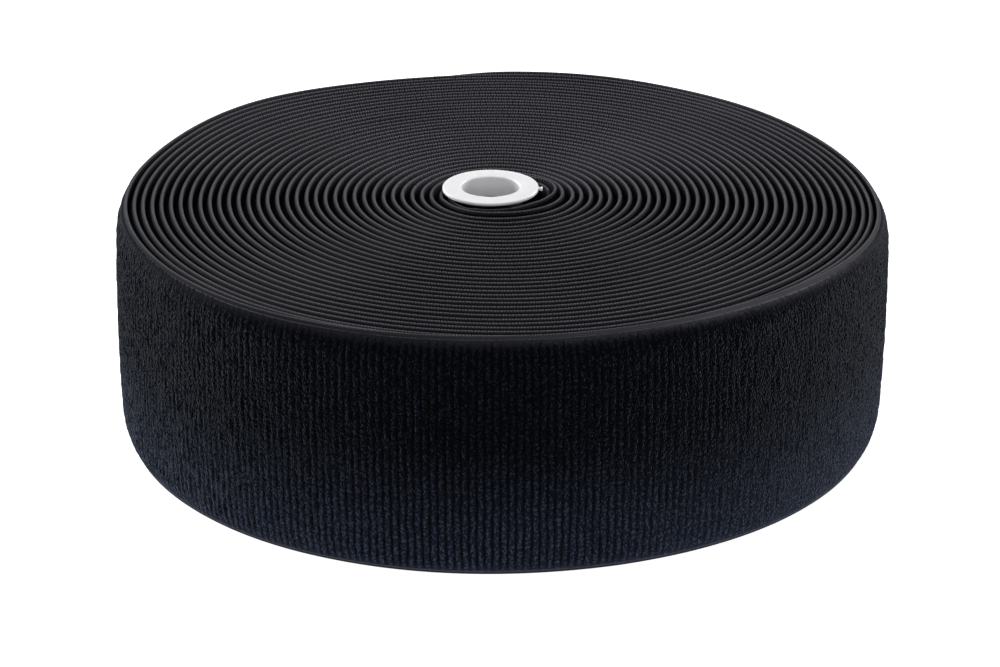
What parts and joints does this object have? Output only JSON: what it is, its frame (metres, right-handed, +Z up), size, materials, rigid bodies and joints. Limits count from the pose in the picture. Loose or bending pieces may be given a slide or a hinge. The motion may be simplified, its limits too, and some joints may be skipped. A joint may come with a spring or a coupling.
{
  "type": "roll of elastic",
  "caption": "Standing roll of wide black pile elastic, wound flat on itself round a small white plastic core with an open bore.",
  "frame": {"origin": "middle of the roll's footprint, on the surface that it stands on", "axes": "+Z up along the winding's axis, +X to the right and -Y towards the viewer; the tape's outer end lies at +Y, at the back"},
  "size_m": [0.1632, 0.1624, 0.0509],
  "materials": {
    "cloth": "matt black elastic, its ribbed pile on the outside and its plain woven edges at the top and foot",
    "plastic": "smooth moulded white, slightly glossy"
  },
  "bodies": {
    "root": {"elastic_roll": "cloth", "core": "plastic"}
  },
  "joints": []
}
